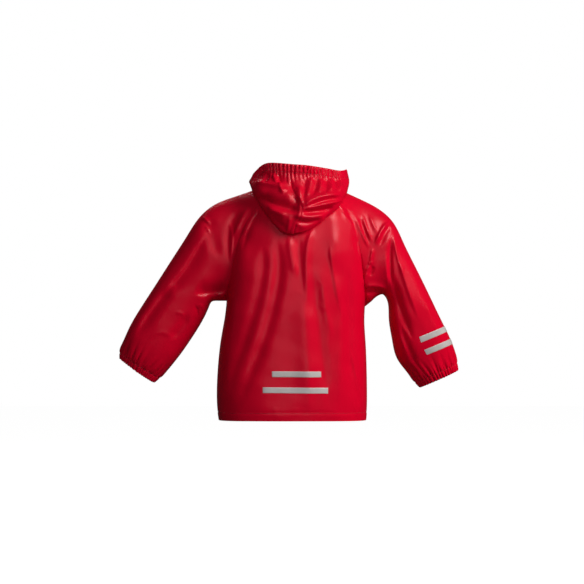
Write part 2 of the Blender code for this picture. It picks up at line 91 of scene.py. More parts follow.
# Creases and folds of the whole shell, as they run on across its seams. Each is a line by its start,
# middle and end in x and z, how wide it is to its left (+X, where it runs down) and right, how far it
# stands out, all in mm, and how sharp its crest is from 0 to 1.
BACK_CREASES = (
    (48, -110, 52, -250, 132, -481, 20, 13, -6, 0),  # deep trough left of the centre
    (22, -108, 16, -155, 4, -205, 7, 7, 3, 0.1),  # ridges under the hood's point
    (-6, -230, -16, -341, -22, -493, 22, 14, 5, 0.1),
    (-30, -95, -15, -150, -17, -270, 4.5, 9, 4, 0.5),
    (-1, -112, 1, -150, -3, -215, 6, 6, -3, 0.1),
    (76, -130, 84, -235, 150, -440, 13, 11, -3.8, 0),  # trough towards the left side
    (57, -110, 66, -245, 125, -430, 11, 11, 1.6, 0),
    (118, -100, 132, -210, 142, -330, 12, 26, 6, 0),
    (133, -215, 148, -331, 158, -483, 8.6, 11, 2.5, 0),
    (-72, -45, -76, -110, -84, -200, 18, 24, 5, 0),  # over the right shoulder blade
    (-63, -128, -71, -190, -92, -300, 4, 12, 3, 0.7),
    (-47, -211, -54, -258, -70, -331, 8.6, 6.4, 2.2, 0.3),
    (-29, -181, -39, -290, -64, -493, 11, 13, -3.5, 0),
    (-39, -206, -49, -217, -58, -229, 4.3, 5.4, 0.6, 0.3),
    (-41, -248, -47, -263, -62, -267, 4.3, 4.3, 0.5, 0.3),
    (5, -227, -6, -236, -20, -254, 3.2, 4.3, 0.5, 0.4),
    (-105, -345, -121, -409, -136, -480, 3, 5, 2.2, 0.8),  # fine line to the hem
    (-102, -168, -105, -310, -111, -482, 11, 11, -3, 0),
    (-90, -248, -87, -352, -85, -489, 11, 11, 2.2, 0),
    (-95, -48, -116, -91, -126, -167, 6.4, 5.4, -4.5, 0.2),  # beside the raglan seams
    (78, -51, 103, -91, 120, -146, 5.4, 6.4, -3, 0.2),
    (104, -45, 123, -78, 142, -120, 4.7, 6.4, 3.4, 0.5),
    (85, -55, 104, -83, 120, -116, 4.3, 6.4, 3, 0.5),
    (119, -51, 146, -94, 148, -175, 8.6, 8.6, -5, 0.1),
    (-84, -53, -112, -91, -126, -133, 6.4, 4.3, 3, 0.5),
    (-113, -457, -119, -478, -122, -497, 2.6, 2.6, 1, 0.4),  # puckers at the hem
    (-124, -464, -130, -481, -133, -498, 2.6, 2.6, 1, 0.4),
    (7, -468, 5, -480, 5, -495, 3.2, 3.2, 0.9, 0.4),
    (48, -470, 50, -480, 50, -495, 3.2, 3.2, 0.8, 0.4),
    # left sleeve
    (190, -98, 240, -183, 287, -236, 8, 15, -5, 0),  # long trough down it
    (268, -214, 306, -262, 350, -326, 8, 13, -4.5, 0),
    (193, -62, 186, -111, 166, -160, 12, 18, -4.2, 0),  # hollow beside the raglan
    (147, -77, 142, -116, 146, -166, 7.5, 3.2, 3, 0.5),
    (224, -234, 184, -228, 146, -223, 7, 15, -7.5, 0.1),  # rolls under the arm
    (177, -237, 171, -235, 165, -239, 3, 3.4, 2.5, 0.5),
    (215, -252, 205, -265, 198, -285, 3.4, 5.4, 1.5, 0.4),
    (221, -255, 216, -276, 221, -305, 5.4, 3.4, -3, 0.2),
    (232, -272, 253, -306, 275, -331, 8.6, 8.6, -3.5, 0),  # above the elbow
    (261, -278, 253, -274, 241, -282, 3, 3.4, 1.2, 0.5),
    (326, -335, 296, -316, 266, -327, 3.9, 5.2, 0.8, 0.2),
    (207, -69, 199, -75, 187, -88, 3, 4.7, 3.2, 0.8),  # at the shoulder point
    (202, -89, 193, -98, 191, -108, 3, 3.4, 1.6, 0.5),
    # right sleeve
    (-193, -76, -174, -100, -159, -132, 3.4, 7.5, 4.5, 0.7),  # from the shoulder point
    (-195, -86, -181, -106, -169, -137, 4.7, 6.4, -3.5, 0.1),
    (-119, -66, -133, -105, -149, -138, 4.3, 3.2, 3.4, 0.7),  # folds that meet in a V
    (-134, -63, -144, -96, -156, -126, 3.2, 3.2, 3, 0.6),
    (-126, -64, -138, -100, -151, -132, 3, 3, -2.5, 0.3),
    (-147, -60, -157, -85, -166, -107, 3.4, 4.3, 2, 0.5),
    (-156, -135, -153, -151, -150, -168, 3.2, 4.3, 2.8, 0.6),
    (-145, -170, -151, -168, -156, -164, 3.2, 3.4, 2.6, 0.5),  # knots
    (-141, -187, -146, -180, -151, -173, 3.2, 3.2, 2.2, 0.5),
    (-156, -173, -154, -185, -150, -198, 4.3, 4.3, -2.5, 0.2),
    (-146, -181, -138, -202, -135, -220, 3.2, 6.4, 3.5, 0.7),  # folds under the arm
    (-135, -220, -160, -217, -189, -223, 3.2, 7.5, 4, 0.7),
    (-138, -232, -158, -229, -184, -231, 5.2, 4.3, -4, 0.2),
    (-183, -139, -185, -181, -189, -220, 11, 3.4, 2.5, 0.6),  # down the middle of it
    (-195, -110, -193, -164, -198, -223, 4.7, 4.7, -4.5, 0.2),
    (-200, -103, -206, -147, -221, -202, 3.4, 9.7, 3, 0.7),
    (-198, -193, -214, -261, -244, -337, 7.5, 8.6, -6, 0.2),
    (-214, -164, -224, -206, -256, -295, 4.7, 8.6, 3, 0.5),
    (-194, -244, -211, -312, -237, -376, 6.4, 6.4, 3, 0.3),
    (-215, -295, -232, -346, -259, -397, 7.5, 6.4, -3.5, 0.1),
    (-268, -246, -283, -284, -301, -323, 8.6, 8.6, 2, 0),
)
FRONT_CREASES = (
    (60, -110, 78, -260, 86, -480, 20, 13, -6, 0.1),
    (-64, -110, -76, -260, -80, -480, 14, 20, -6, 0.1),
    (112, -250, 118, -340, 124, -480, 12, 16, 5, 0.1),
    (-100, -260, -104, -340, -112, -480, 16, 12, 5, 0.1),
    (36, -70, 44, -180, 50, -300, 8, 6, 2.5, 0.3),
    (-34, -72, -48, -170, -52, -330, 6, 9, 2.5, 0.3),
    (100, -80, 118, -130, 128, -190, 6, 8, -3.5, 0.3),
    (-98, -82, -114, -134, -126, -190, 8, 6, -3.5, 0.3),
    (140, -170, 120, -215, 96, -240, 5, 7, 2.4, 0.5),
    (-142, -172, -118, -212, -92, -246, 7, 5, 2.4, 0.5),
    (190, -95, 250, -225, 326, -330, 11, 11, -6, 0.2),
    (-186, -100, -222, -228, -262, -340, 11, 11, -6, 0.2),
    (180, -215, 205, -225, 228, -240, 5, 6, 4, 0.4),
    (-150, -215, -172, -220, -196, -216, 5, 6, 4, 0.4),
    (210, -250, 250, -310, 290, -370, 8, 8, 3, 0.2),
    (-205, -260, -226, -320, -250, -380, 8, 8, 3, 0.2),
    (200, -80, 186, -104, 170, -120, 4, 7, 3, 0.6),
    (-190, -86, -174, -108, -158, -128, 7, 4, 3, 0.6),
    (22, -300, 34, -390, 30, -490, 6, 8, 1.6, 0.3),
    (-26, -320, -38, -400, -36, -490, 8, 6, 1.6, 0.3),
)


def table(columns, rows, angles=()):
    """A table's columns by name, in metres, with the named ones in radians."""
    scales = [math.pi / 180 if name in angles else MM for name in columns.split()]
    return dict(zip(columns.split(), np.array(rows, float).T * np.array(scales)[:, None]))


def spline(knots, values, at):
    """The natural cubic curve through values at knots, read at each of at."""
    knots, values, at = (np.asarray(a, float) for a in (knots, values, at))
    gaps, last = np.diff(knots), len(knots) - 1
    slopes = np.diff(values, axis=0) / gaps.reshape(-1, *[1] * (values.ndim - 1))
    system, right = np.eye(last + 1), np.zeros_like(values)
    for i in range(1, last):
        system[i, i - 1 : i + 2] = gaps[i - 1], 2 * (gaps[i - 1] + gaps[i]), gaps[i]
        right[i] = 6 * (slopes[i] - slopes[i - 1])
    bends = np.linalg.solve(system, right)
    i = np.clip(np.searchsorted(knots, at, side="right") - 1, 0, last - 1)
    gap = gaps[i]
    share = (at - knots[i]) / gap
    if values.ndim > 1:
        gap, share = gap[..., None], share[..., None]
    before = 1 - share
    curve = (before**3 - before) * bends[i] + (share**3 - share) * bends[i + 1]
    return before * values[i] + share * values[i + 1] + curve * gap**2 / 6


SHELL = table(SHELL_COLUMNS, SHELL_ROWS, angles=("back_seam", "front_seam", "sleeve"))


def shell_value(name, level):
    """A column of the shell's table at a level, counted in rows from the neckline."""
    rows = SHELL[name]
    if name in ("back_seam", "front_seam", "sleeve"):
        return spline(range(UNDERARM + 1), rows[: UNDERARM + 1], np.minimum(level, UNDERARM))
    return spline(range(len(rows)), rows, level)


def shell_point(angle, level):
    """The shell's outer face at an angle from the centre back, positive to the wearer's left."""
    angle, level = np.broadcast_arrays(np.asarray(angle, float), np.asarray(level, float))
    sine, cosine = np.sin(angle), np.cos(angle)
    back, front = shell_value("y_back", level), shell_value("y_front", level)
    x = shell_value("half_width", level) * np.sign(sine) * np.abs(sine) ** SQUARE
    x = x + shell_value("centre_x", level)
    y = (back + front) / 2 + (back - front) / 2 * np.sign(cosine) * np.abs(cosine) ** SQUARE
    end = np.where(cosine > 0, shell_value("z_back", level), shell_value("z_front", level))
    z = shell_value("z_side", level) * sine**2 + end * cosine**2
    return np.stack([x, y, z - shell_value("lean", level) * (1 - sine) / 2], axis=-1)


def run_along(line):
    """How far along a line of points each of them is."""
    return np.concatenate([[0], np.cumsum(np.linalg.norm(np.diff(line, axis=0), axis=1))])


def evenly(line, step=STEP):
    """Where along a line, counted in its points, points an even step apart are."""
    far = run_along(line)
    count = max(2, round(far[-1] / step) + 1)
    return np.interp(np.linspace(0, far[-1], count), far, np.arange(len(line)))


def even_levels(levels, angle):
    """As many levels over the same range as set the shell's points at that angle a step apart."""
    return np.interp(evenly(shell_point(angle, levels)), np.arange(len(levels)), levels)


def smooth(value):
    """From 0 to 1 as the value does, with a soft start and end."""
    value = np.clip(value, 0, 1)
    return value * value * (3 - 2 * value)


def dent(away, width):
    """A round hollow's depth, 1 in its middle."""
    return np.exp(-((away / width) ** 2))


def crest_height(away, sharp):
    """A crease's height, 1 at its line, by how many widths away it is and how sharp it is."""
    return (1 - sharp) * dent(away, 1) + sharp * np.exp(0.29 - 1.7 * np.sqrt(away**2 + 0.03))


def crease_height(x, z, rows, fade=0.3):
    """How far a table of creases lifts the cloth at x and z. A crease fades over that share of each end."""
    height = np.zeros(x.shape)
    for *line, left, right, out, sharp in rows:
        bends = np.array(line, float).reshape(3, 2) * MM
        path = spline((0, 0.5, 1), bends, np.linspace(0, 1, CREASE_POINTS))
        reach = CREASE_REACH * max(left, right) * MM
        (low_x, low_z), (high_x, high_z) = path.min(axis=0) - reach, path.max(axis=0) + reach
        near = (x > low_x) & (x < high_x) & (z > low_z) & (z < high_z)
        if not near.any():
            continue
        start, way = path[:-1], np.diff(path, axis=0)
        from_x, from_z = x[near][:, None] - start[:, 0], z[near][:, None] - start[:, 1]
        share = np.clip((from_x * way[:, 0] + from_z * way[:, 1]) / (way**2).sum(axis=1), 0, 1)
        off_x, off_z = from_x - share * way[:, 0], from_z - share * way[:, 1]
        far = off_x**2 + off_z**2
        part = far.argmin(axis=1)
        pick = np.arange(len(part)), part
        along = (part + share[pick]) / len(way)
        end = smooth(along / fade) * smooth((1 - along) / fade)
        side = way[part, 0] * off_z[pick] - way[part, 1] * off_x[pick]
        wide = np.where(side > 0, left, right) * MM * (0.5 + 0.5 * end)
        height[near] += out * MM * end * crest_height(np.sqrt(far[pick]) / wide, sharp)
    return height


def unevenness(points, seed, size, out):
    """A slight swell of the cloth everywhere, by waves about that size in random directions."""
    rng = np.random.default_rng(seed)
    total = np.zeros(points.shape[:-1])
    for _ in range(SWELLS):
        way = rng.normal(size=3)
        wave = size * rng.uniform(0.6, 1.8)
        total += np.sin(points @ way / np.linalg.norm(way) * 2 * math.pi / wave + rng.uniform(0, 6.3))
    return out * total / math.sqrt(SWELLS)


def creased(points):
    """The shell's points with its creases pressed in, straight backwards or forwards."""
    x, y, z = (points[..., k].copy() for k in range(3))
    middle = -0.1 * np.maximum(np.abs(x) - 140 * MM, 0)  # of the depth: the sleeves hang forwards
    lift = np.zeros(x.shape)
    for face, rows in ((1, BACK_CREASES), (-1, FRONT_CREASES)):
        facing = smooth(face * (y - middle) / (34 * MM))
        lift += face * facing * (crease_height(x, z, rows) + unevenness(points, 4, 60 * MM, 0.5 * MM))
    return np.stack([x, y + lift, z], axis=-1)


def outward(grid, ring=False):
    """Unit normals of a grid of points."""
    down, across = np.gradient(grid, axis=0), np.gradient(grid, axis=1)
    if ring:
        across = np.roll(grid, -1, axis=1) - np.roll(grid, 1, axis=1)
    normal = np.cross(down, across)
    return normal / np.maximum(np.linalg.norm(normal, axis=-1, keepdims=True), 1e-12)


def turned(grid, edge):
    """A grid with one of its edges as its first row: top, bottom, or its first or last column."""
    grid = grid.swapaxes(0, 1) if edge in ("first", "last") else grid
    return grid[::-1] if edge in ("bottom", "last") else grid


def from_edge(grid, edge):
    """How far each point of a grid is from one of its edges, along its own row or column."""
    steps = np.linalg.norm(np.diff(turned(grid, edge), axis=0), axis=-1)
    far = np.concatenate([np.zeros_like(steps[:1]), np.cumsum(steps, axis=0)])
    far = far[::-1] if edge in ("bottom", "last") else far
    return far.T if edge in ("first", "last") else far


def lapped(grid, laps=(), eases=(), ring=False):
    """The grid with a welded lap along some edges, sunk at its seam, and carried on past others."""
    lift = np.zeros(grid.shape[:2])
    for edge in laps:
        lift = np.maximum(lift, LAP_OUT * (1 - smooth((from_edge(grid, edge) - LAP) / (1.5 * MM))))
    for edge in laps:
        lift -= 0.8 * MM * dent(from_edge(grid, edge), 1 * MM)
    grid = grid + outward(grid, ring) * lift[..., None]
    for edge in eases:
        line, beside = turned(grid, edge)[:2]
        way = beside - line
        line -= way / np.linalg.norm(way, axis=-1, keepdims=True) * SEAM_OVERLAP / 2
    return grid


def hemmed(grid):
    """The grid with the hem's doubled band standing out, and drawn in along its line of stitches."""
    up = from_edge(grid, "bottom") - HEM
    band = 0.5 * MM * (1 - smooth(up / (1.2 * MM)))
    return grid + outward(grid) * (band - 0.9 * MM * dent(up, 1.6 * MM))[..., None]


def put(name, data):
    """A new object in the scene, at the origin."""
    made = bpy.data.objects.new(name, data)
    bpy.context.scene.collection.objects.link(made)
    return made


def quads(grid):
    """What a grid holds at the four corners of each of its faces."""
    corners = [grid[:-1, :-1], grid[1:, :-1], grid[1:, 1:], grid[:-1, 1:]]
    return np.stack(corners, axis=2).reshape(-1, 4, *grid.shape[2:])


def cloth_wall(name, outer, inner, materials, ring=False):
    """A closed wall of cloth between two grids of points. Its UVs are in metres along the cloth."""
    rows, columns = outer.shape[:2]
    number = np.arange(rows * columns).reshape(rows, columns)
    if ring:
        number = np.concatenate([number, number[:, :1]], axis=1)
    face_out = quads(number)
    face_in = face_out[:, ::-1] + rows * columns
    edges = [(number[0, :-1], number[0, 1:]), (number[-1, 1:], number[-1, :-1])]
    if not ring:
        edges += [(number[1:, 0], number[:-1, 0]), (number[:-1, -1], number[1:, -1])]
    strips = [np.stack([a, b, b + rows * columns, a + rows * columns], axis=1) for a, b in edges]
    faces = np.concatenate([face_out, *strips, face_in])
    points = np.concatenate([outer.reshape(-1, 3), inner.reshape(-1, 3)])
    mesh = bpy.data.meshes.new(name)
    mesh.from_pydata(points.tolist(), [], faces.tolist())
    for material in materials:
        mesh.materials.append(material)
    if len(materials) > 1:
        slots = np.zeros(len(faces), np.int32)
        slots[-len(face_in) :] = 1
        mesh.polygons.foreach_set("material_index", slots)
    down = from_edge(outer, "top").mean(axis=1)
    around = np.concatenate([outer, outer[:, :1]], axis=1) if ring else outer
    across = from_edge(around, "first").mean(axis=0)
    uv_out = quads(np.stack(np.meshgrid(across, down), axis=-1))
    uv = np.zeros((len(faces), 4, 2))
    uv[: len(face_out)] = uv_out
    uv[-len(face_in) :] = uv_out[:, ::-1]
    mesh.uv_layers.new(name="cloth").data.foreach_set("uv", uv.ravel())
    mesh.shade_smooth()
    mesh.set_sharp_from_angle(angle=math.radians(60))
    return put(name, mesh)


def stand_for(piece, node):
    """Puts a piece in the place of the part's solid of that name."""
    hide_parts(node)
    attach(piece, "root")
    return piece


def linear(code):
    """A colour in linear light from its sRGB hex code."""
    parts = [int(code[i : i + 2], 16) / 255 for i in (1, 3, 5)]
    return [p / 12.92 if p <= 0.04045 else ((p + 0.055) / 1.055) ** 2.4 for p in parts] + [1]


def add(tree, kind, sockets=None, **settings):
    """The outputs of a new node. Each of its sockets takes a value, or the output linked to it."""
    node = tree.nodes.new(kind)
    for name, value in settings.items():
        setattr(node, name, value)
    for name, value in (sockets or {}).items():
        if isinstance(value, bpy.types.NodeSocket):
            tree.links.new(value, node.inputs[name])
        else:
            node.inputs[name].default_value = value
    return node.outputs


def finish(name, values, coordinates="Object"):
    """(material, its tree, its shader, its textures' coordinates) of a finish with such values."""
    material = bpy.data.materials.new(name)
    material.use_nodes = True
    tree = material.node_tree
    shader = tree.nodes["Principled BSDF"]
    for socket, value in values.items():
        shader.inputs[socket].default_value = value
    return material, tree, shader, add(tree, "ShaderNodeTexCoord")[coordinates]


def two_tone(tree, shader, factor, dark, light):
    """Lets a shader's colour wander between two by a texture."""
    mix = add(tree, "ShaderNodeMix", {"Factor": factor, 6: linear(dark), 7: linear(light)}, data_type="RGBA")
    tree.links.new(mix[2], shader.inputs["Base Color"])


def bumpy(tree, shader, *bumps):
    """Gives a shader bumps over one another, each a texture, a strength and a height in metres."""
    under = {}
    for texture, strength, high in bumps:
        sockets = {"Height": texture, "Strength": strength, "Distance": high}
        under = {"Normal": add(tree, "ShaderNodeBump", sockets | under)["Normal"]}
    tree.links.new(under["Normal"], shader.inputs["Normal"])


# Polyurethane-coated polyester: a soft plastic skin, even in colour, with a broad satin gloss, faint
# crumpling from wear and folding, and a very fine grain from the release paper it was cast on.
coated, tree, shader, place = finish(
    "polyurethane_coated_polyester",
    {"Roughness": 0.4, "Specular IOR Level": 0.14, "Coat Weight": 0.25, "Coat Roughness": 0.2},
)
cloudy = add(tree, "ShaderNodeTexNoise", {"Vector": place, "Scale": 9, "Detail": 3})
two_tone(tree, shader, cloudy["Fac"], "#cc0024", "#d8002a")
crumpling = {"Vector": place, "Scale": 26, "Detail": 4, "Roughness": 0.45, "Distortion": 0.6}
crumple = add(tree, "ShaderNodeTexNoise", crumpling)
grain = add(tree, "ShaderNodeTexNoise", {"Vector": place, "Scale": 1400, "Detail": 1})
bumpy(tree, shader, (crumple["Fac"], 0.2, 4 * MM), (grain["Fac"], 0.15, 0.2 * MM))

# The knit side: brushed polyester yarn in ribs 1.3 mm apart, dull, and darker than the coat.
knit_values = {"Roughness": 0.9, "Sheen Weight": 0.25}
backing, tree, shader, place = finish("brushed_polyester_knit", knit_values, coordinates="UV")
ribbing = {"Vector": place, "Scale": 240, "Distortion": 1.2, "Detail": 2, "Detail Scale": 3}
ribs = add(tree, "ShaderNodeTexWave", ribbing)
two_tone(tree, shader, ribs["Fac"], "#7d0a1a", "#a31226")
bumpy(tree, shader, (ribs["Fac"], 0.5, 0.4 * MM))


def panel(node, grid, thick=CLOTH, lining=backing, ring=False):
    """A piece of cloth in the place of the part's solid of that name, with the coat on its outside."""
    inner = grid - outward(grid, ring) * thick
    return stand_for(cloth_wall(f"{node}_cloth", grid, inner, (coated, lining), ring), node)


levels = np.linspace(0, UNDERARM, 300)
SEAM_LEVELS = even_levels(levels, shell_value("back_seam", levels))
LEVELS = np.concatenate([SEAM_LEVELS, even_levels(np.linspace(UNDERARM, LAST, 600), 0.0)[1:]])

angles = shell_value("back_seam", LEVELS)[:, None] * np.linspace(1, -1, BACK_COLUMNS)
back_sheet = hemmed(creased(shell_point(angles, LEVELS[:, None])))
back = panel("back", lapped(back_sheet, laps=("first", "last"), eases=("first", "last", "top")))

# ---- Fronts ------------------------------------
# Two pieces of the same coated knit, from the raglan seams to the centre front, hemmed as the back is.
# Their edges meet under the flap.

SIDES = {1: "left", -1: "right"}
FRONT_COLUMNS = 66
FRONT_EDGE = 0.4 * MM  # from the centre front
THREAD_OUT = 0.2 * MM  # how far a stitch's middle is from the coat


def angle_at(offset, level):
    """The angle from the centre front of a point that far to one side of it."""
    share = np.abs(offset) / shell_value("half_width", level)
    return np.sign(offset) * np.arcsin(np.minimum(share, 1) ** (1 / SQUARE))


def thread_line(grid, edge, far, ring=False):
    """Where the thread of a row of stitches runs, that far from one edge of a grid."""
    reach = turned(from_edge(grid, edge), edge)
    lifted = turned(grid + outward(grid, ring) * THREAD_OUT, edge)
    columns = range(reach.shape[1])
    return np.array([[np.interp(far, reach[:, c], lifted[:, c, k]) for k in range(3)] for c in columns])


hem_lines = [thread_line(back_sheet, "bottom", HEM)]
for side, word in SIDES.items():
    seam = shell_value("front_seam", LEVELS)[:, None]
    edge = angle_at(FRONT_EDGE, LEVELS)[:, None]
    from_front = seam + (edge - seam) * np.linspace(0, 1, FRONT_COLUMNS)
    grid = hemmed(creased(shell_point(side * (math.pi - from_front), LEVELS[:, None]))[:, ::-side])
    seamed = "last" if side > 0 else "first"
    grid = lapped(grid, laps=(seamed,), eases=(seamed, "top"))
    front = panel(f"front_{word}", grid)
    hem_lines.append(thread_line(grid, "bottom", HEM))

# Polyester thread: twisted of three strands, with a slight lustre.
thread, tree, shader, place = finish("twisted_polyester_thread", {"Roughness": 0.55, "Sheen Weight": 0.15})
twist = {"Vector": place, "Scale": 700, "Distortion": 1}
strands = add(tree, "ShaderNodeTexWave", twist, bands_direction="DIAGONAL")
two_tone(tree, shader, strands["Fac"], "#8e0c1e", "#b4132b")
bumpy(tree, shader, (strands["Fac"], 0.4, 0.2 * MM))

# A row of lockstitches along a line: from every needle hole, a bead of thread towards the next one.
stitching = bpy.data.node_groups.new("lockstitches", "GeometryNodeTree")
stitching.interface.new_socket("Geometry", in_out="INPUT", socket_type="NodeSocketGeometry")
stitching.interface.new_socket("Geometry", in_out="OUTPUT", socket_type="NodeSocketGeometry")
for size_name in ("Pitch", "Length", "Thickness"):
    stitching.interface.new_socket(size_name, in_out="INPUT", socket_type="NodeSocketFloat")
given = add(stitching, "NodeGroupInput")
curve = add(stitching, "GeometryNodeMeshToCurve", {"Mesh": given["Geometry"]})
spacing = {"Curve": curve["Curve"], "Length": given["Pitch"]}
holes = add(stitching, "GeometryNodeResampleCurve", spacing, mode="LENGTH")
bead = add(stitching, "GeometryNodeMeshUVSphere", {"Segments": 6, "Rings": 4, "Radius": 0.5})
tangent = add(stitching, "GeometryNodeInputTangent")
along = add(stitching, "FunctionNodeAlignRotationToVector", {"Vector": tangent["Tangent"]}, axis="Z")
sides = {"X": given["Thickness"], "Y": given["Thickness"], "Z": given["Length"]}
size = add(stitching, "ShaderNodeCombineXYZ", sides)
copies = {"Points": holes["Curve"], "Instance": bead["Mesh"]}
copies |= {"Rotation": along["Rotation"], "Scale": size["Vector"]}
row = add(stitching, "GeometryNodeInstanceOnPoints", copies)
real = add(stitching, "GeometryNodeRealizeInstances", {"Geometry": row["Instances"]})
rounded = add(stitching, "GeometryNodeSetShadeSmooth", {"Geometry": real["Geometry"]})
dyed = add(stitching, "GeometryNodeSetMaterial", {"Geometry": rounded["Geometry"], "Material": thread})
add(stitching, "NodeGroupOutput", {"Geometry": dyed["Geometry"]})


def stitch(name, lines, pitch=3.6 * MM, length=3.1 * MM, thickness=0.8 * MM):
    """Rows of lockstitches along lines of points, as one piece."""
    mesh = bpy.data.meshes.new(name)
    starts = np.cumsum([0] + [len(line) for line in lines])
    edges = [(k, k + 1) for a, b in zip(starts, starts[1:]) for k in range(a, b - 1)]
    mesh.from_pydata(np.concatenate(lines).tolist(), edges, [])
    piece = put(name, mesh)
    sewing = piece.modifiers.new("stitching", "NODES")
    sewing.node_group = stitching
    sizes = {"Pitch": pitch, "Length": length, "Thickness": thickness}
    for socket in stitching.interface.items_tree:
        if socket.name in sizes:
            sewing[socket.identifier] = sizes[socket.name]
    sewn = bpy.data.meshes.new_from_object(piece.evaluated_get(bpy.context.evaluated_depsgraph_get()))
    piece.modifiers.clear()
    piece.data = sewn
    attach(piece, "root")


stitch("stitches_hem", hem_lines)

# ---- Sleeves -----------------------------------
# Each is one piece, sewn to the neckline and both raglan seams, with its own seam under the arm. It
# narrows into the gathers of its cuff, and the elastic pulls it into short folds above the cuff's seam.

# Rings from the shoulder to the cuff's edge, in mm, with x counted away from the body.
RING_COLUMNS = "outer_x outer_z inner_x inner_z centre_y half_depth"
RING_ROWS = {
    1: (
        (140, -23, 168, -247, 0, 54),
        (182, -40, 180, -247, -1, 53),
        (214, -67, 188, -249, -2, 52),  # shoulder point
        (241, -107, 193, -257, -4, 51),
        (272, -155, 199, -271, -7, 50),
        (310, -214, 211, -294, -10, 49),
        (342, -263, 235, -332, -14, 48),
        (368, -308, 260, -367, -18, 47),
        (381, -340, 283, -394, -21, 43),
        (386, -357, 301, -411, -23, 37),  # cuff seam
        (386.5, -371, 315, -423, -24, 32),
    ),
    -1: (
        (130, -27, 151, -252, 0, 54),
        (170, -48, 162, -242, -1, 53),
        (201, -76, 172, -235, -2, 53),  # shoulder point
        (224, -120, 180, -233, -4, 54),
        (252, -177, 188, -240, -7, 57),
        (283, -240, 194, -281, -10, 59),
        (306, -287, 201, -329, -14, 56),
        (325, -325, 212, -371, -18, 51),
        (336, -353, 230, -396, -21, 45),
        (341, -379, 251, -420, -23, 38),  # cuff seam
        (344, -397, 263, -433, -24, 32),
    ),
}
CUFF_RING = 10  # rings are counted from 1, and 0 is the seam to the shell
CUFF_GATHERS = {1: 34, -1: 36}
CUFF_PULL = 3.2 * MM  # how far the gathers stand out, and the fewer folds that run on above them
FOLD_PULL = 5.4 * MM
FOLDS = {side: count * 5 // 9 for side, count in CUFF_GATHERS.items()}
GATHER_REACH = 13 * MM
FOLD_REACH = 15, 34  # in mm, at random
FOLD_STATIONS = 40
SLEEVE_ROWS = np.concatenate([np.linspace(0, 2, 32), np.linspace(2, CUFF_RING, 146)[1:]])
ARM_ROWS = np.concatenate([SLEEVE_ROWS, np.linspace(CUFF_RING, CUFF_RING + 1, 15)[1:]])
# How many points round the sleeve lie on the back's seam, and on each half of its neckline.
BACK_SEAM_POINTS = 135
BACK_NECK_POINTS = 14
FRONT_NECK_POINTS = 10


def sleeve_loop(side):
    """(points, sleeve angles) round the neckline and seams that a sleeve is sewn to, from its top."""
    back, front = SHELL["back_seam"][0], math.pi - SHELL["front_seam"][0]
    top, first_turn = (back + front) / 2, SHELL["sleeve"][0]
    to_back = np.arange(BACK_NECK_POINTS) / BACK_NECK_POINTS
    to_top = np.arange(1, FRONT_NECK_POINTS) / FRONT_NECK_POINTS
    shares = np.linspace(0, 1, BACK_SEAM_POINTS)
    down = np.interp(shares, np.linspace(0, 1, len(SEAM_LEVELS)), SEAM_LEVELS)
    up = SEAM_LEVELS[-2::-1]
    parts = (
        (top + (back - top) * to_back, first_turn * to_back, 0 * to_back),
        (shell_value("back_seam", down), shell_value("sleeve", down), down),
        (math.pi - shell_value("front_seam", up), -shell_value("sleeve", up), up),
        (front + (top - front) * to_top, first_turn * (to_top - 1), 0 * to_top),
    )
    angle, turn, level = (np.concatenate(column) for column in zip(*parts))
    return shell_point(side * angle, level), turn


def sleeve_sheet(side, rows):
    """A sleeve's points at rows counted in rings, before its creases."""
    loop, turn = sleeve_loop(side)
    ring = table(RING_COLUMNS, RING_ROWS[side])
    outer = np.stack([side * ring["outer_x"], ring["centre_y"], ring["outer_z"]], axis=1)
    inner = np.stack([side * ring["inner_x"], ring["centre_y"], ring["inner_z"]], axis=1)
    middle, half = (outer + inner) / 2, (outer - inner) / 2
    flat = np.interp(np.arange(len(middle)), (0, 2, 7, 9), (1, SQUARE, SQUARE, 1))[:, None]
    wide, deep = (np.sign(way) * np.abs(way) ** flat for way in (np.cos(turn), np.sin(turn)))
    around = half[:, None] * wide[..., None] + middle[:, None]
    around[..., 1] += ring["half_depth"][:, None] * deep
    lines = np.concatenate([loop[None], around])
    grid = np.empty((len(rows), len(turn), 3))
    for column in range(len(turn)):
        knots = run_along(lines[:, column])
        grid[:, column] = spline(knots, lines[:, column], np.interp(rows, range(len(knots)), knots))
    return grid


def gathers(share, count, seed):
    """Rounded gathers with narrow valleys between them, from 0 to 1 high, uneven in width and height."""
    rng = np.random.default_rng(seed)
    ends = np.concatenate([[0], np.cumsum(rng.uniform(0.6, 1.4, count))])
    at = np.interp(share % 1, ends / ends[-1], np.arange(count + 1))
    heights = rng.uniform(0.55, 1, count + 1)
    heights[-1] = heights[0]
    return np.abs(np.sin(math.pi * at)) ** 0.75 * np.interp(at, np.arange(count + 1), heights)


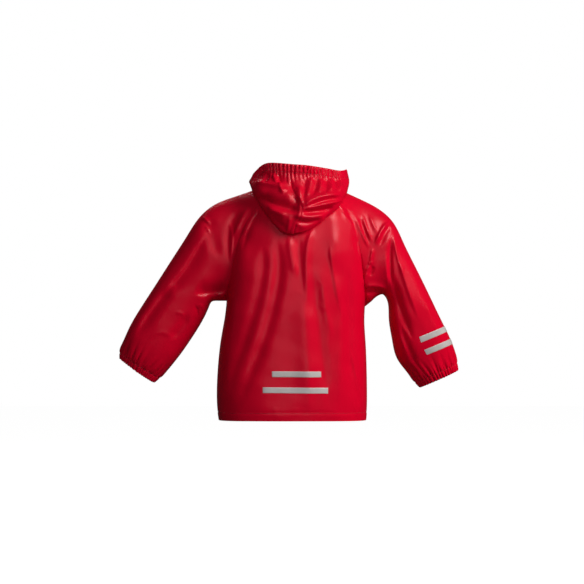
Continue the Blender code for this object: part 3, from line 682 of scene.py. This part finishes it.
seam = len(SLEEVE_ROWS) - 1
arms = {}
for side, word in SIDES.items():
    whole = creased(sleeve_sheet(side, ARM_ROWS)[:, ::side])
    girth = from_edge(np.concatenate([whole, whole[:, :1]], axis=1), "first")[seam]
    share = (girth / girth[-1])[:-1]
    above = from_edge(whole[: seam + 1], "bottom")
    seed = 11 + side
    pull = CUFF_PULL * gathers(share, CUFF_GATHERS[side], seed)
    long_pull = FOLD_PULL * gathers(share + 0.02, FOLDS[side], seed + 1)
    reaches = np.random.default_rng(seed + 2).uniform(*FOLD_REACH, FOLD_STATIONS + 1)
    reach = np.interp(share * FOLD_STATIONS, range(FOLD_STATIONS + 1), reaches) * MM
    near = np.exp(-((above / GATHER_REACH) ** 1.6))
    farther = dent(above, reach) * (1 - 0.6 * np.exp(-above / (6 * MM)))
    lift = near * (pull - 1.2 * MM) + farther * (long_pull - 1.8 * MM)
    normal = outward(whole, ring=True)
    grid = whole[: seam + 1] + normal[: seam + 1] * lift[..., None]
    grid = lapped(grid, eases=("top", "bottom"), ring=True)
    sleeve = panel(f"sleeve_{word}", grid, ring=True)
    arms[side] = grid, whole[seam:], normal[seam:], share, pull

# ---- Cuffs -------------------------------------
# A band of the coated knit 18 mm deep at the end of each sleeve, turned in over elastic and stitched
# round its upper edge. The elastic draws it up into rounded gathers, and its edge rolls in.

DOUBLED = 2.2 * MM
CUFF_STITCHES = 2.6 * MM  # below the cuff's seam


def tunnel(far, deep, stitches):
    """(how full a tunnel over elastic is, how far its stitches and rolled edge draw it in)."""
    full = np.sin(math.pi * np.clip(far / deep, 0, 1)) ** 0.35
    groove = 0.8 * MM * dent(far - stitches, 1.1 * MM)
    roll = 1.2 * MM * smooth((far - deep + 2.4 * MM) / (2.4 * MM)) ** 2
    return full, groove + roll


cuff_lines = []
for side, word in SIDES.items():
    _, band, normal, share, pull = arms[side]
    down = from_edge(band, "top")
    full, drawn = tunnel(down, down.max(), CUFF_STITCHES)
    fine_pull = pull + 0.5 * MM * gathers(share * 1.7, CUFF_GATHERS[side], 16 + side)
    lift = fine_pull * (0.75 + 0.35 * full) - 0.9 * MM - drawn
    grid = lapped(band + normal * lift[..., None], eases=("top",), ring=True)
    cuff = panel(f"cuff_{word}", grid, DOUBLED, coated, ring=True)
    line = thread_line(grid, "top", CUFF_STITCHES, ring=True)
    cuff_lines.append(np.concatenate([line, line[:1]]))
stitch("stitches_cuffs", cuff_lines, pitch=2.6 * MM, length=2.2 * MM)

# ---- Hood --------------------------------------
# Two halves of the coated knit, joined by a lapped seam over the head and sewn to the neckline. Down, it
# folds over on itself: the neck's stand turns out, drops to the tip of the pouch and comes up to the rim.

# Profiles by angle from the centre back, positive to the wearer's left: how far out and how high, in mm,
# the crest, the bottom of the pouch, the swell of its outer face and the rim are.
HOOD_COLUMNS = "angle crest_r crest_z tip_r tip_z swell_r swell_z rim_r rim_z"
HOOD_ROWS = (
    (-173, 60, -24, 62, -15, 64, -6, 66, 6),
    (-150, 67, -12, 73, -4, 77, 5, 80, 17),
    (-120, 74, 10, 85, 5, 94, 14, 96, 30),
    (-90, 76, 17, 95, 1, 107, 13, 104, 37),
    (-60, 72, 17, 108, -32, 117, -6, 102, 29),
    (-40, 70, 17, 111, -56, 121, -20, 98, 29.5),
    (-20, 68, 17, 108, -80, 121, -35, 95, 32),
    (7, 66, 17, 107, -110, 121, -52, 93, 38),
    (30, 68, 17, 109, -72, 121, -30, 95, 42.5),
    (50, 71, 17, 110, -37, 118, -10, 96, 41),
    (70, 74, 16, 104, -12, 111, 3, 99, 30),
    (90, 76, 14, 95, 0, 105, 9, 100, 23),
    (120, 74, 9, 85, 4, 93, 11, 93, 22),
    (150, 67, -12, 73, -4, 77, 4, 79, 13),
    (173, 60, -24, 62, -15, 64, -6, 66, 6),
)
CASING = 20 * MM
HOOD_CLEAR = 0.09  # how far the falling layer bows out, by its length
HOOD_CREASES = (
    (98, 0, 64, -6, 34, -14, 5, 12, 5.5, 0.6),  # across the left, from the top down
    (96, -30, 46, -51, -4, -65, 7, 16, -10, 0.1),
    (67, -54, 46, -64, 25, -74, 8, 4, 3.5, 0.2),
    (55, -78, 37, -93, 24, -102, 6, 6, -2, 0.1),
    (19, -73, 21, -91, 25, -105, 3, 3, 2.5, 0.4),  # along the seam at the tip
    (-4, -57, -43, -36, -90, -27, 4.5, 11, 6.5, 0.6),  # the big folds on the right, from the top down
    (-8, -59, -46, -43, -83, -34, 5, 4, -3.5, 0),
    (-6, -61, -43, -51, -97, -36, 4, 8, 6, 0.6),
    (-4, -66, -43, -64, -74, -53, 5.5, 5, -6, 0),
    (12, -72, -19, -75, -61, -67, 7, 5, 5.5, 0.6),
    (7, -85, -19, -88, -47, -78, 4, 4, -3.5, 0.2),
    (7, -88, -2, -93, -12, -90, 3, 3, 2.5, 0.4),
    (7, -100, -27, -90, -61, -70, 4, 4, 1.5, 0.1),
    (15, 5, 13, -26, -2, -56, 7, 5, -4.5, 0.1),  # beside the seam over the head
    (40, 1, 38, -15, 32, -27, 4, 9, 5, 0.5),
    (1, -7, -3, -33, -4, -56, 4.5, 4.5, 3, 0.2),
    (9, -7, 8, -24, 3, -50, 3.5, 3.5, -2.5, 0),
    (55, 18, 50, 6, 49, -4, 4, 4.5, 3.5, 0.4),
    (43, 20, 41, 5, 40, -4, 3.5, 3.5, -3, 0.2),
    (67, 24, 67, 10, 74, -5, 4, 4, -2.5, 0.1),
    (-13, 8, -11, -12, -7, -47, 3, 3, -3.2, 0.2),  # gathers that run on below the casing
    (-24, 11, -23, -9, -14, -39, 3.4, 3.4, 3, 0.3),
    (-35, 11, -35, -7, -26, -35, 3, 3, -3, 0.2),
    (-45, 9, -45, -9, -40, -28, 3.2, 3.2, 2.8, 0.3),
    (-55, 10, -57, -8, -54, -27, 3, 3, -3, 0.2),
    (-65, 10, -68, -5, -65, -24, 3.2, 3.4, 2.6, 0.3),
    (-74, 9, -77, -5, -75, -20, 3, 3, -2.2, 0.2),
    (-88, 15, -89, -5, -86, -25, 5, 4, 2, 0.1),
)
# How far the seam over the head wanders to the left of the centre back, in degrees by station.
SEAM_ROWS = ((0, 0), (0.4, 0), (0.53, 3), (0.72, -1), (0.96, 6), (1.04, 6.3), (1.5, 6.3), (2, 6.3))
# How strongly the casing is gathered, by angle from the centre back.
PULL_ROWS = (
    (-173, 0.5), (-110, 0.5), (-88, 0.1), (-66, 0.15), (-54, 0.9),
    (55, 1), (80, 0.8), (120, 0.6), (173, 0.5),
)
THROAT = 24 * MM  # below the rim, where the elastic draws the hood in
THROAT_IN = 7 * MM
THROAT_LOWEST = 0.55  # of the way down to the swell, where the hood is low
HOOD_EDGE = 1 * MM  # of each half, from the centre front
HOOD_PROFILES = 241
HOOD_STEP = 1.5 * MM
INNER_END = 0.45  # the station where the part that lies inside ends
HOOD_STATIONS = np.concatenate([
    np.linspace(0, INNER_END, 36),
    np.linspace(INNER_END, 1, 111)[1:],
    np.linspace(1, 2, 17)[1:],
])
GATHER = 7.4 * MM  # mean width of the casing's gathers, their height, and how far below it they run on
GATHER_OUT = 2.9 * MM
GATHER_DOWN = 14 * MM


def hood_line(angle, stations):
    """Points up one profile of the hood: station 0 is the neckline, 1 the casing's seam and 2 the rim."""
    start = shell_point(angle, 0.0)
    centre = np.array([0, (SHELL["y_back"][0] + SHELL["y_front"][0]) / 2, 0])
    way = (start - centre) * (1, 1, 0)
    way = way / np.linalg.norm(way)
    value = {name: spline(HOOD["angle"], HOOD[name], angle) for name in HOOD}
    crest, tip, swell, rim = (
        centre + way * value[name + "_r"] + (0, 0, value[name + "_z"])
        for name in ("crest", "tip", "swell", "rim")
    )
    drop = (crest + tip) / 2 + way * HOOD_CLEAR * np.linalg.norm(tip - crest)
    high = rim[2] - swell[2]
    down = min(THROAT / high, THROAT_LOWEST)
    throat = rim + (swell - rim) * down - way * THROAT_IN * smooth((high - THROAT) / (20 * MM))
    line = np.array([start, crest, drop, tip, swell, throat, rim])
    knots = run_along(line)
    fine = spline(knots, line, np.linspace(0, knots[-1], 300))
    along = run_along(fine)
    at = np.interp(stations, (0, 1, 2), (0, along[-1] - CASING, along[-1]))
    return np.stack([np.interp(at, along, fine[:, k]) for k in range(3)], axis=1)


HOOD = table(HOOD_COLUMNS, HOOD_ROWS, angles=("angle",))
end = math.pi - float(angle_at(HOOD_EDGE, 0.0))
turns = np.linspace(-end, end, HOOD_PROFILES)
seam_line = np.stack([hood_line(a, np.array([1.0]))[0] for a in turns])
angles = np.interp(evenly(seam_line, HOOD_STEP), np.arange(HOOD_PROFILES), turns)
middle = int(np.abs(angles).argmin())
angles[middle] = 0
straight = np.stack([hood_line(a, HOOD_STATIONS) for a in turns], axis=1)
wander = np.radians(spline(*np.array(SEAM_ROWS, float).T, HOOD_STATIONS))
whole = np.empty((len(HOOD_STATIONS), len(angles), 3))
for row, points in enumerate(straight):
    at = angles + wander[row] * np.cos(angles / end * math.pi / 2) ** 2
    whole[row] = np.stack([np.interp(at, turns, points[:, k]) for k in range(3)], axis=1)
normal = outward(whole)
# The creases are only in the outer part, where it faces back.
facing = smooth((normal[..., 1] + 0.15) / 0.5) * smooth((HOOD_STATIONS - INNER_END + 0.01) / 0.08)[:, None]
lift = facing * crease_height(whole[..., 0], whole[..., 2], HOOD_CREASES, fade=0.22)
for _ in range(2):  # softened where creases meet
    lift[1:-1] = (lift[:-2] + 2 * lift[1:-1] + lift[2:]) / 4
    lift[:, 1:-1] = (lift[:, :-2] + 2 * lift[:, 1:-1] + lift[:, 2:]) / 4
lift += unevenness(whole, 8, 40 * MM, 0.6 * MM)
seam = int(np.flatnonzero(HOOD_STATIONS == 1)[0])
far = from_edge(whole[seam : seam + 2], "first")[0]
share = far / far[-1]
tightness = np.interp(np.degrees(angles), *np.array(PULL_ROWS, float).T)
count = round(far[-1] / GATHER)
pull = GATHER_OUT * tightness * (gathers(share, count, 3) - 0.5)
below = from_edge(whole[: seam + 1], "bottom")
lift[: seam + 1] += np.exp(-((below / GATHER_DOWN) ** 1.5)) * pull
whole = whole + normal * lift[..., None]
for side, word in SIDES.items():
    half = slice(middle, None) if side > 0 else slice(0, middle + 1)
    joined = "first" if side > 0 else "last"
    hood = panel(f"hood_{word}", lapped(whole[: seam + 1, half], laps=(joined,), eases=(joined, "top")))

# ---- Hood casing -------------------------------
# The hood's rim, turned over elastic to a casing 20 mm wide and stitched along its lower edge. It is
# gathered most round the back, and hardly at all on the wearer's right.

CASING_STITCHES = 2.8 * MM  # above the casing's seam

band = whole[seam:]
up = from_edge(band, "top")
full, drawn = tunnel(up, CASING, CASING_STITCHES)
lean = 0.35 / count * np.sin(share * 17)
bunched = GATHER_OUT * tightness * (gathers(share + lean * up / CASING, count, 3) - 0.5)
lift = (1 + 0.3 * full) * bunched + 0.5 * MM * full * tightness * gathers(share * 1.6, count, 5)
lift[0] = 0
lift += 0.9 * MM * full - drawn
grid = band + outward(band) * lift[..., None]
casing = panel("hood_casing", grid, DOUBLED, coated)
stitch("stitches_hood", [thread_line(grid, "top", CASING_STITCHES)])

# ---- Front flap --------------------------------
# A doubled strip of the coated knit, 44 mm wide, that covers where the fronts meet. It lies on both of
# them, and is stitched 5 mm inside its long edges.

FLAP_HALF = 22 * MM
FLAP_THICK = 2.4 * MM
FLAP_TOP = 0.25  # its level on the shell
FLAP_UNDER = 0.6 * MM  # room below the flap
FLAP_STITCHES = 5 * MM
FLAP_MIDDLE = 10  # a column of points

levels = even_levels(np.linspace(FLAP_TOP, LAST, 600), math.pi)
offsets = np.linspace(-1, 1, 2 * FLAP_MIDDLE + 1) * FLAP_HALF
turns = math.pi - np.stack([angle_at(offset, levels) for offset in offsets], axis=1)
grid = creased(shell_point(turns, levels[:, None]))
beside = np.minimum(from_edge(grid, "first"), from_edge(grid, "last"))
rounded = 1.4 * MM * (1 - smooth(beside / (2.2 * MM))) ** 2
drawn = 0.5 * MM * dent(beside - FLAP_STITCHES, 1 * MM)
base = grid + outward(grid) * FLAP_UNDER
top = grid + outward(grid) * (FLAP_UNDER + FLAP_THICK - rounded - drawn)[..., None]
flap = stand_for(cloth_wall("front_flap_cloth", top, base, (coated,)), "front_flap")
stitch("stitches_flap", [thread_line(top, edge, FLAP_STITCHES)[3:-3] for edge in ("first", "last")])

# ---- Press studs -------------------------------
# Five caps moulded in acetal, domed, with a raised rim round a shallow dish. Each is fixed through the
# flap by its prong, and snaps onto the front below.

# Acetal: smooth and hard, with a tight gloss.
acetal, tree, shader, place = finish(
    "moulded_acetal", {"Base Color": linear("#b80c20"), "Roughness": 0.22, "IOR": 1.48}
)
flow = add(tree, "ShaderNodeTexNoise", {"Vector": place, "Scale": 900, "Detail": 1})
bumpy(tree, shader, (flow["Fac"], 0.1, 0.1 * MM))

# A cap's section from the edge of its foot, by radius and height in mm, and the middle of its dish.
CAP = (
    (6.3, 0), (6.6, 0.3), (6.6, 0.9), (6.2, 1.6), (5.3, 2.2),
    (4.6, 2.3), (4, 2.1), (3.4, 1.7), (2.4, 1.5),
)
CAP_MIDDLE = 1.45
CAP_SIDES = 40

around = np.arange(CAP_SIDES) * 2 * math.pi / CAP_SIDES
rings = [[(r * math.cos(a), r * math.sin(a), h) for a in around] for r, h in CAP]
cap = np.concatenate([np.reshape(rings, (-1, 3)), [(0, 0, 0), (0, 0, CAP_MIDDLE)]]) * MM
number = np.arange(len(CAP) * CAP_SIDES).reshape(len(CAP), CAP_SIDES)
number = np.concatenate([number, number[:, :1]], axis=1)
faces = quads(number)[:, ::-1].tolist()
faces += [(number.size - len(CAP), b, a) for a, b in zip(number[0], number[0, 1:])]
faces += [(number.size - len(CAP) + 1, a, b) for a, b in zip(number[-1], number[-1, 1:])]
for stud in range(1, 6):
    low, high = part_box(f"snap_{stud}")
    at = np.abs(top[:, FLAP_MIDDLE, 2] - (low + high).z / 2).argmin()
    out = outward(top)[at, FLAP_MIDDLE]
    turn = np.array(Vector(out).to_track_quat("Z", "Y").to_matrix())
    mesh = bpy.data.meshes.new(f"press_stud_{stud}")
    mesh.from_pydata((cap @ turn.T + top[at, FLAP_MIDDLE] + out * 0.2 * MM).tolist(), [], faces)
    mesh.shade_smooth()
    mesh.materials.append(acetal)
    stand_for(put(f"press_stud_{stud}", mesh), f"snap_{stud}")

# ---- Reflective tapes --------------------------
# Strips of film 12 mm wide, faced with glass beads, pressed on hot so that their edges sink slightly into
# the coat. Two lie across the back above the hem, and two go round the back of the right sleeve.

film, tree, shader, place = finish("glass_bead_film", {"Roughness": 0.5, "Metallic": 0.15})
stain = add(tree, "ShaderNodeTexNoise", {"Vector": place, "Scale": 60, "Detail": 4})
two_tone(tree, shader, stain["Fac"], "#b8b3b0", "#d2cecc")
beads = add(tree, "ShaderNodeTexVoronoi", {"Vector": place, "Scale": 1500})
bumpy(tree, shader, (beads["Distance"], 0.25, 0.1 * MM))

TAPE_HEIGHT = 12 * MM
TAPE_ROWS = 13
# Where the tapes on the back end to the left and right, how high their middles are in mm, and their tilt.
BACK_TAPES = (("back_tape_upper", 56.5, -45.5, -402.5, 0.3), ("back_tape_lower", 75.5, -60, -436, 0.6))
BACK_TAPE_COLUMNS = 60
# Between which of the sleeve's rings each tape on it lies, and how long it is in metres.
SLEEVE_TAPES = (("sleeve_tape_upper", 7.37, 7.67, 0.154), ("sleeve_tape_lower", 8.10, 8.51, 0.143))
SLEEVE_TAPE_TURNS = np.radians(np.linspace(92, -42, 90))  # from the sleeve's top line, backwards


def read_grid(grid, row, column):
    """A grid read between its points."""
    r = np.clip(np.floor(row).astype(int), 0, grid.shape[0] - 2)
    c = np.clip(np.floor(column).astype(int), 0, grid.shape[1] - 2)
    u, v = (row - r)[..., None], (column - c)[..., None]
    near = grid[r, c] * (1 - v) + grid[r, c + 1] * v
    return near * (1 - u) + (grid[r + 1, c] * (1 - v) + grid[r + 1, c + 1] * v) * u


def lay_tape(node, grid, row, column):
    """A strip of film over a stretch of a grid, with its edges sunk."""
    points, out = read_grid(grid, row, column), read_grid(outward(grid), row, column)
    rim = np.minimum.reduce([from_edge(points, edge) for edge in ("top", "bottom", "first", "last")])
    lift = 0.25 * MM + 0.45 * MM * smooth(rim / (0.9 * MM))
    wall = cloth_wall(node + "_film", points + out * lift[..., None], points + out * 0.12 * MM, (film,))
    return stand_for(wall, node)


heights = back_sheet[:, BACK_COLUMNS // 2, 2]
down = np.linspace(TAPE_HEIGHT / 2, -TAPE_HEIGHT / 2, TAPE_ROWS)[:, None]
for node, left, right, height, tilt in BACK_TAPES:
    x = np.linspace(left, right, BACK_TAPE_COLUMNS) * MM
    z = height * MM + down + np.radians(tilt) * (x - x.mean())
    rows = np.interp(-z, -heights, np.arange(len(heights)))
    columns = np.empty_like(rows)
    for i, row in enumerate(rows):
        line = back_sheet[int(round(row.mean())), :, 0]
        columns[i] = np.interp(-x, -line, np.arange(len(line)))
    tape = lay_tape(node, back_sheet, rows, columns)

turn = sleeve_loop(-1)[1][::-1]
order = np.roll(np.arange(len(turn)), len(turn) // 2)
turn = np.unwrap(turn[order])
sheet = arms[-1][0][:, order]
where = np.interp(SLEEVE_TAPE_TURNS, np.sort(turn), np.argsort(turn).astype(float))
for node, first, last, long in SLEEVE_TAPES:
    rows = np.interp(np.linspace(first, last, TAPE_ROWS), SLEEVE_ROWS, np.arange(len(SLEEVE_ROWS)))
    row, column = np.meshgrid(rows, where, indexing="ij")
    tape = lay_tape(node, sheet, row, column)

# ---- Floor, light and camera -------------------
# A pale studio floor, a large soft light above the wearer's right shoulder and behind them, a weak one
# straight behind and one in front, with panels that show in the gloss. The camera stands 3 m behind the
# jacket, just below its middle.

FLOOR_HALF = 9
FLOOR_HEIGHT = -0.9

glow = {"Emission Color": (1, 1, 1, 1), "Emission Strength": 0.98}
pale = finish("pale_floor", {"Base Color": linear("#8c8c8b"), "Roughness": 0.9} | glow)[0]
mesh = bpy.data.meshes.new("floor")
corners = [(x * FLOOR_HALF, y * FLOOR_HALF, FLOOR_HEIGHT) for x, y in ((-1, -1), (1, -1), (1, 1), (-1, 1))]
mesh.from_pydata(corners, [], [(0, 1, 2, 3)])
mesh.materials.append(pale)
floor = put("floor", mesh)
floor.visible_diffuse = floor.visible_glossy = False

# name, place, the height over the origin it points at, size, power, colour, and whether it lights the
# cloth and shows in its gloss
LIGHTS = (
    ("key", (-2.7, 1.75, 1.25), -0.2, 2.0, 134, "#fffaf5", True, False),
    ("panel", (-1.3, 2.1, 1.8), -0.2, 1.6, 60, "#fffaf5", False, True),
    ("lamp", (-1.4, 2.0, 2.0), -0.1, 0.4, 5, "#fffaf5", False, True),
    ("fill", (0.2, 3.1, 0.3), -0.25, 1.8, 27, "#f6f8ff", True, False),
    ("front", (0.5, -2.3, 2.0), -0.2, 1.6, 95, "#ffffff", True, False),
    ("front_panel", (0.5, -2.3, 2.0), -0.2, 1.6, 30, "#ffffff", False, True),
)
for name, place, height, size, power, colour, lit, glossy in LIGHTS:
    lamp = bpy.data.lights.new(name, "AREA")
    lamp.shape, lamp.size, lamp.energy = "SQUARE", size, power
    lamp.color = linear(colour)[:3]
    light = put(name, lamp)
    light.location = place
    light.rotation_euler = (Vector((0, 0, height)) - light.location).to_track_quat("-Z", "Y").to_euler()
    light.visible_diffuse, light.visible_glossy = lit, glossy

# The room is white to the camera, and sheds only a little light.
world = bpy.data.worlds.new("studio")
world.use_nodes = True
tree = world.node_tree
ray = add(tree, "ShaderNodeLightPath")
shades = {"Factor": ray["Is Camera Ray"], 6: (0.02, 0.02, 0.02, 1), 7: (1, 1, 1, 1)}
dim = add(tree, "ShaderNodeMix", shades, data_type="RGBA")
tree.links.new(dim[2], tree.nodes["Background"].inputs["Color"])
bpy.context.scene.world = world
bpy.context.scene.view_settings.view_transform = "Standard"

CAMERA_X = 0.015
lens = bpy.data.cameras.new("camera")
lens.lens = 86
camera = put("camera", lens)
camera.location = (CAMERA_X, 3.0, -0.33)
camera.rotation_euler = (Vector((CAMERA_X, 0, -0.228)) - camera.location).to_track_quat("-Z", "Y").to_euler()
bpy.context.scene.camera = camera
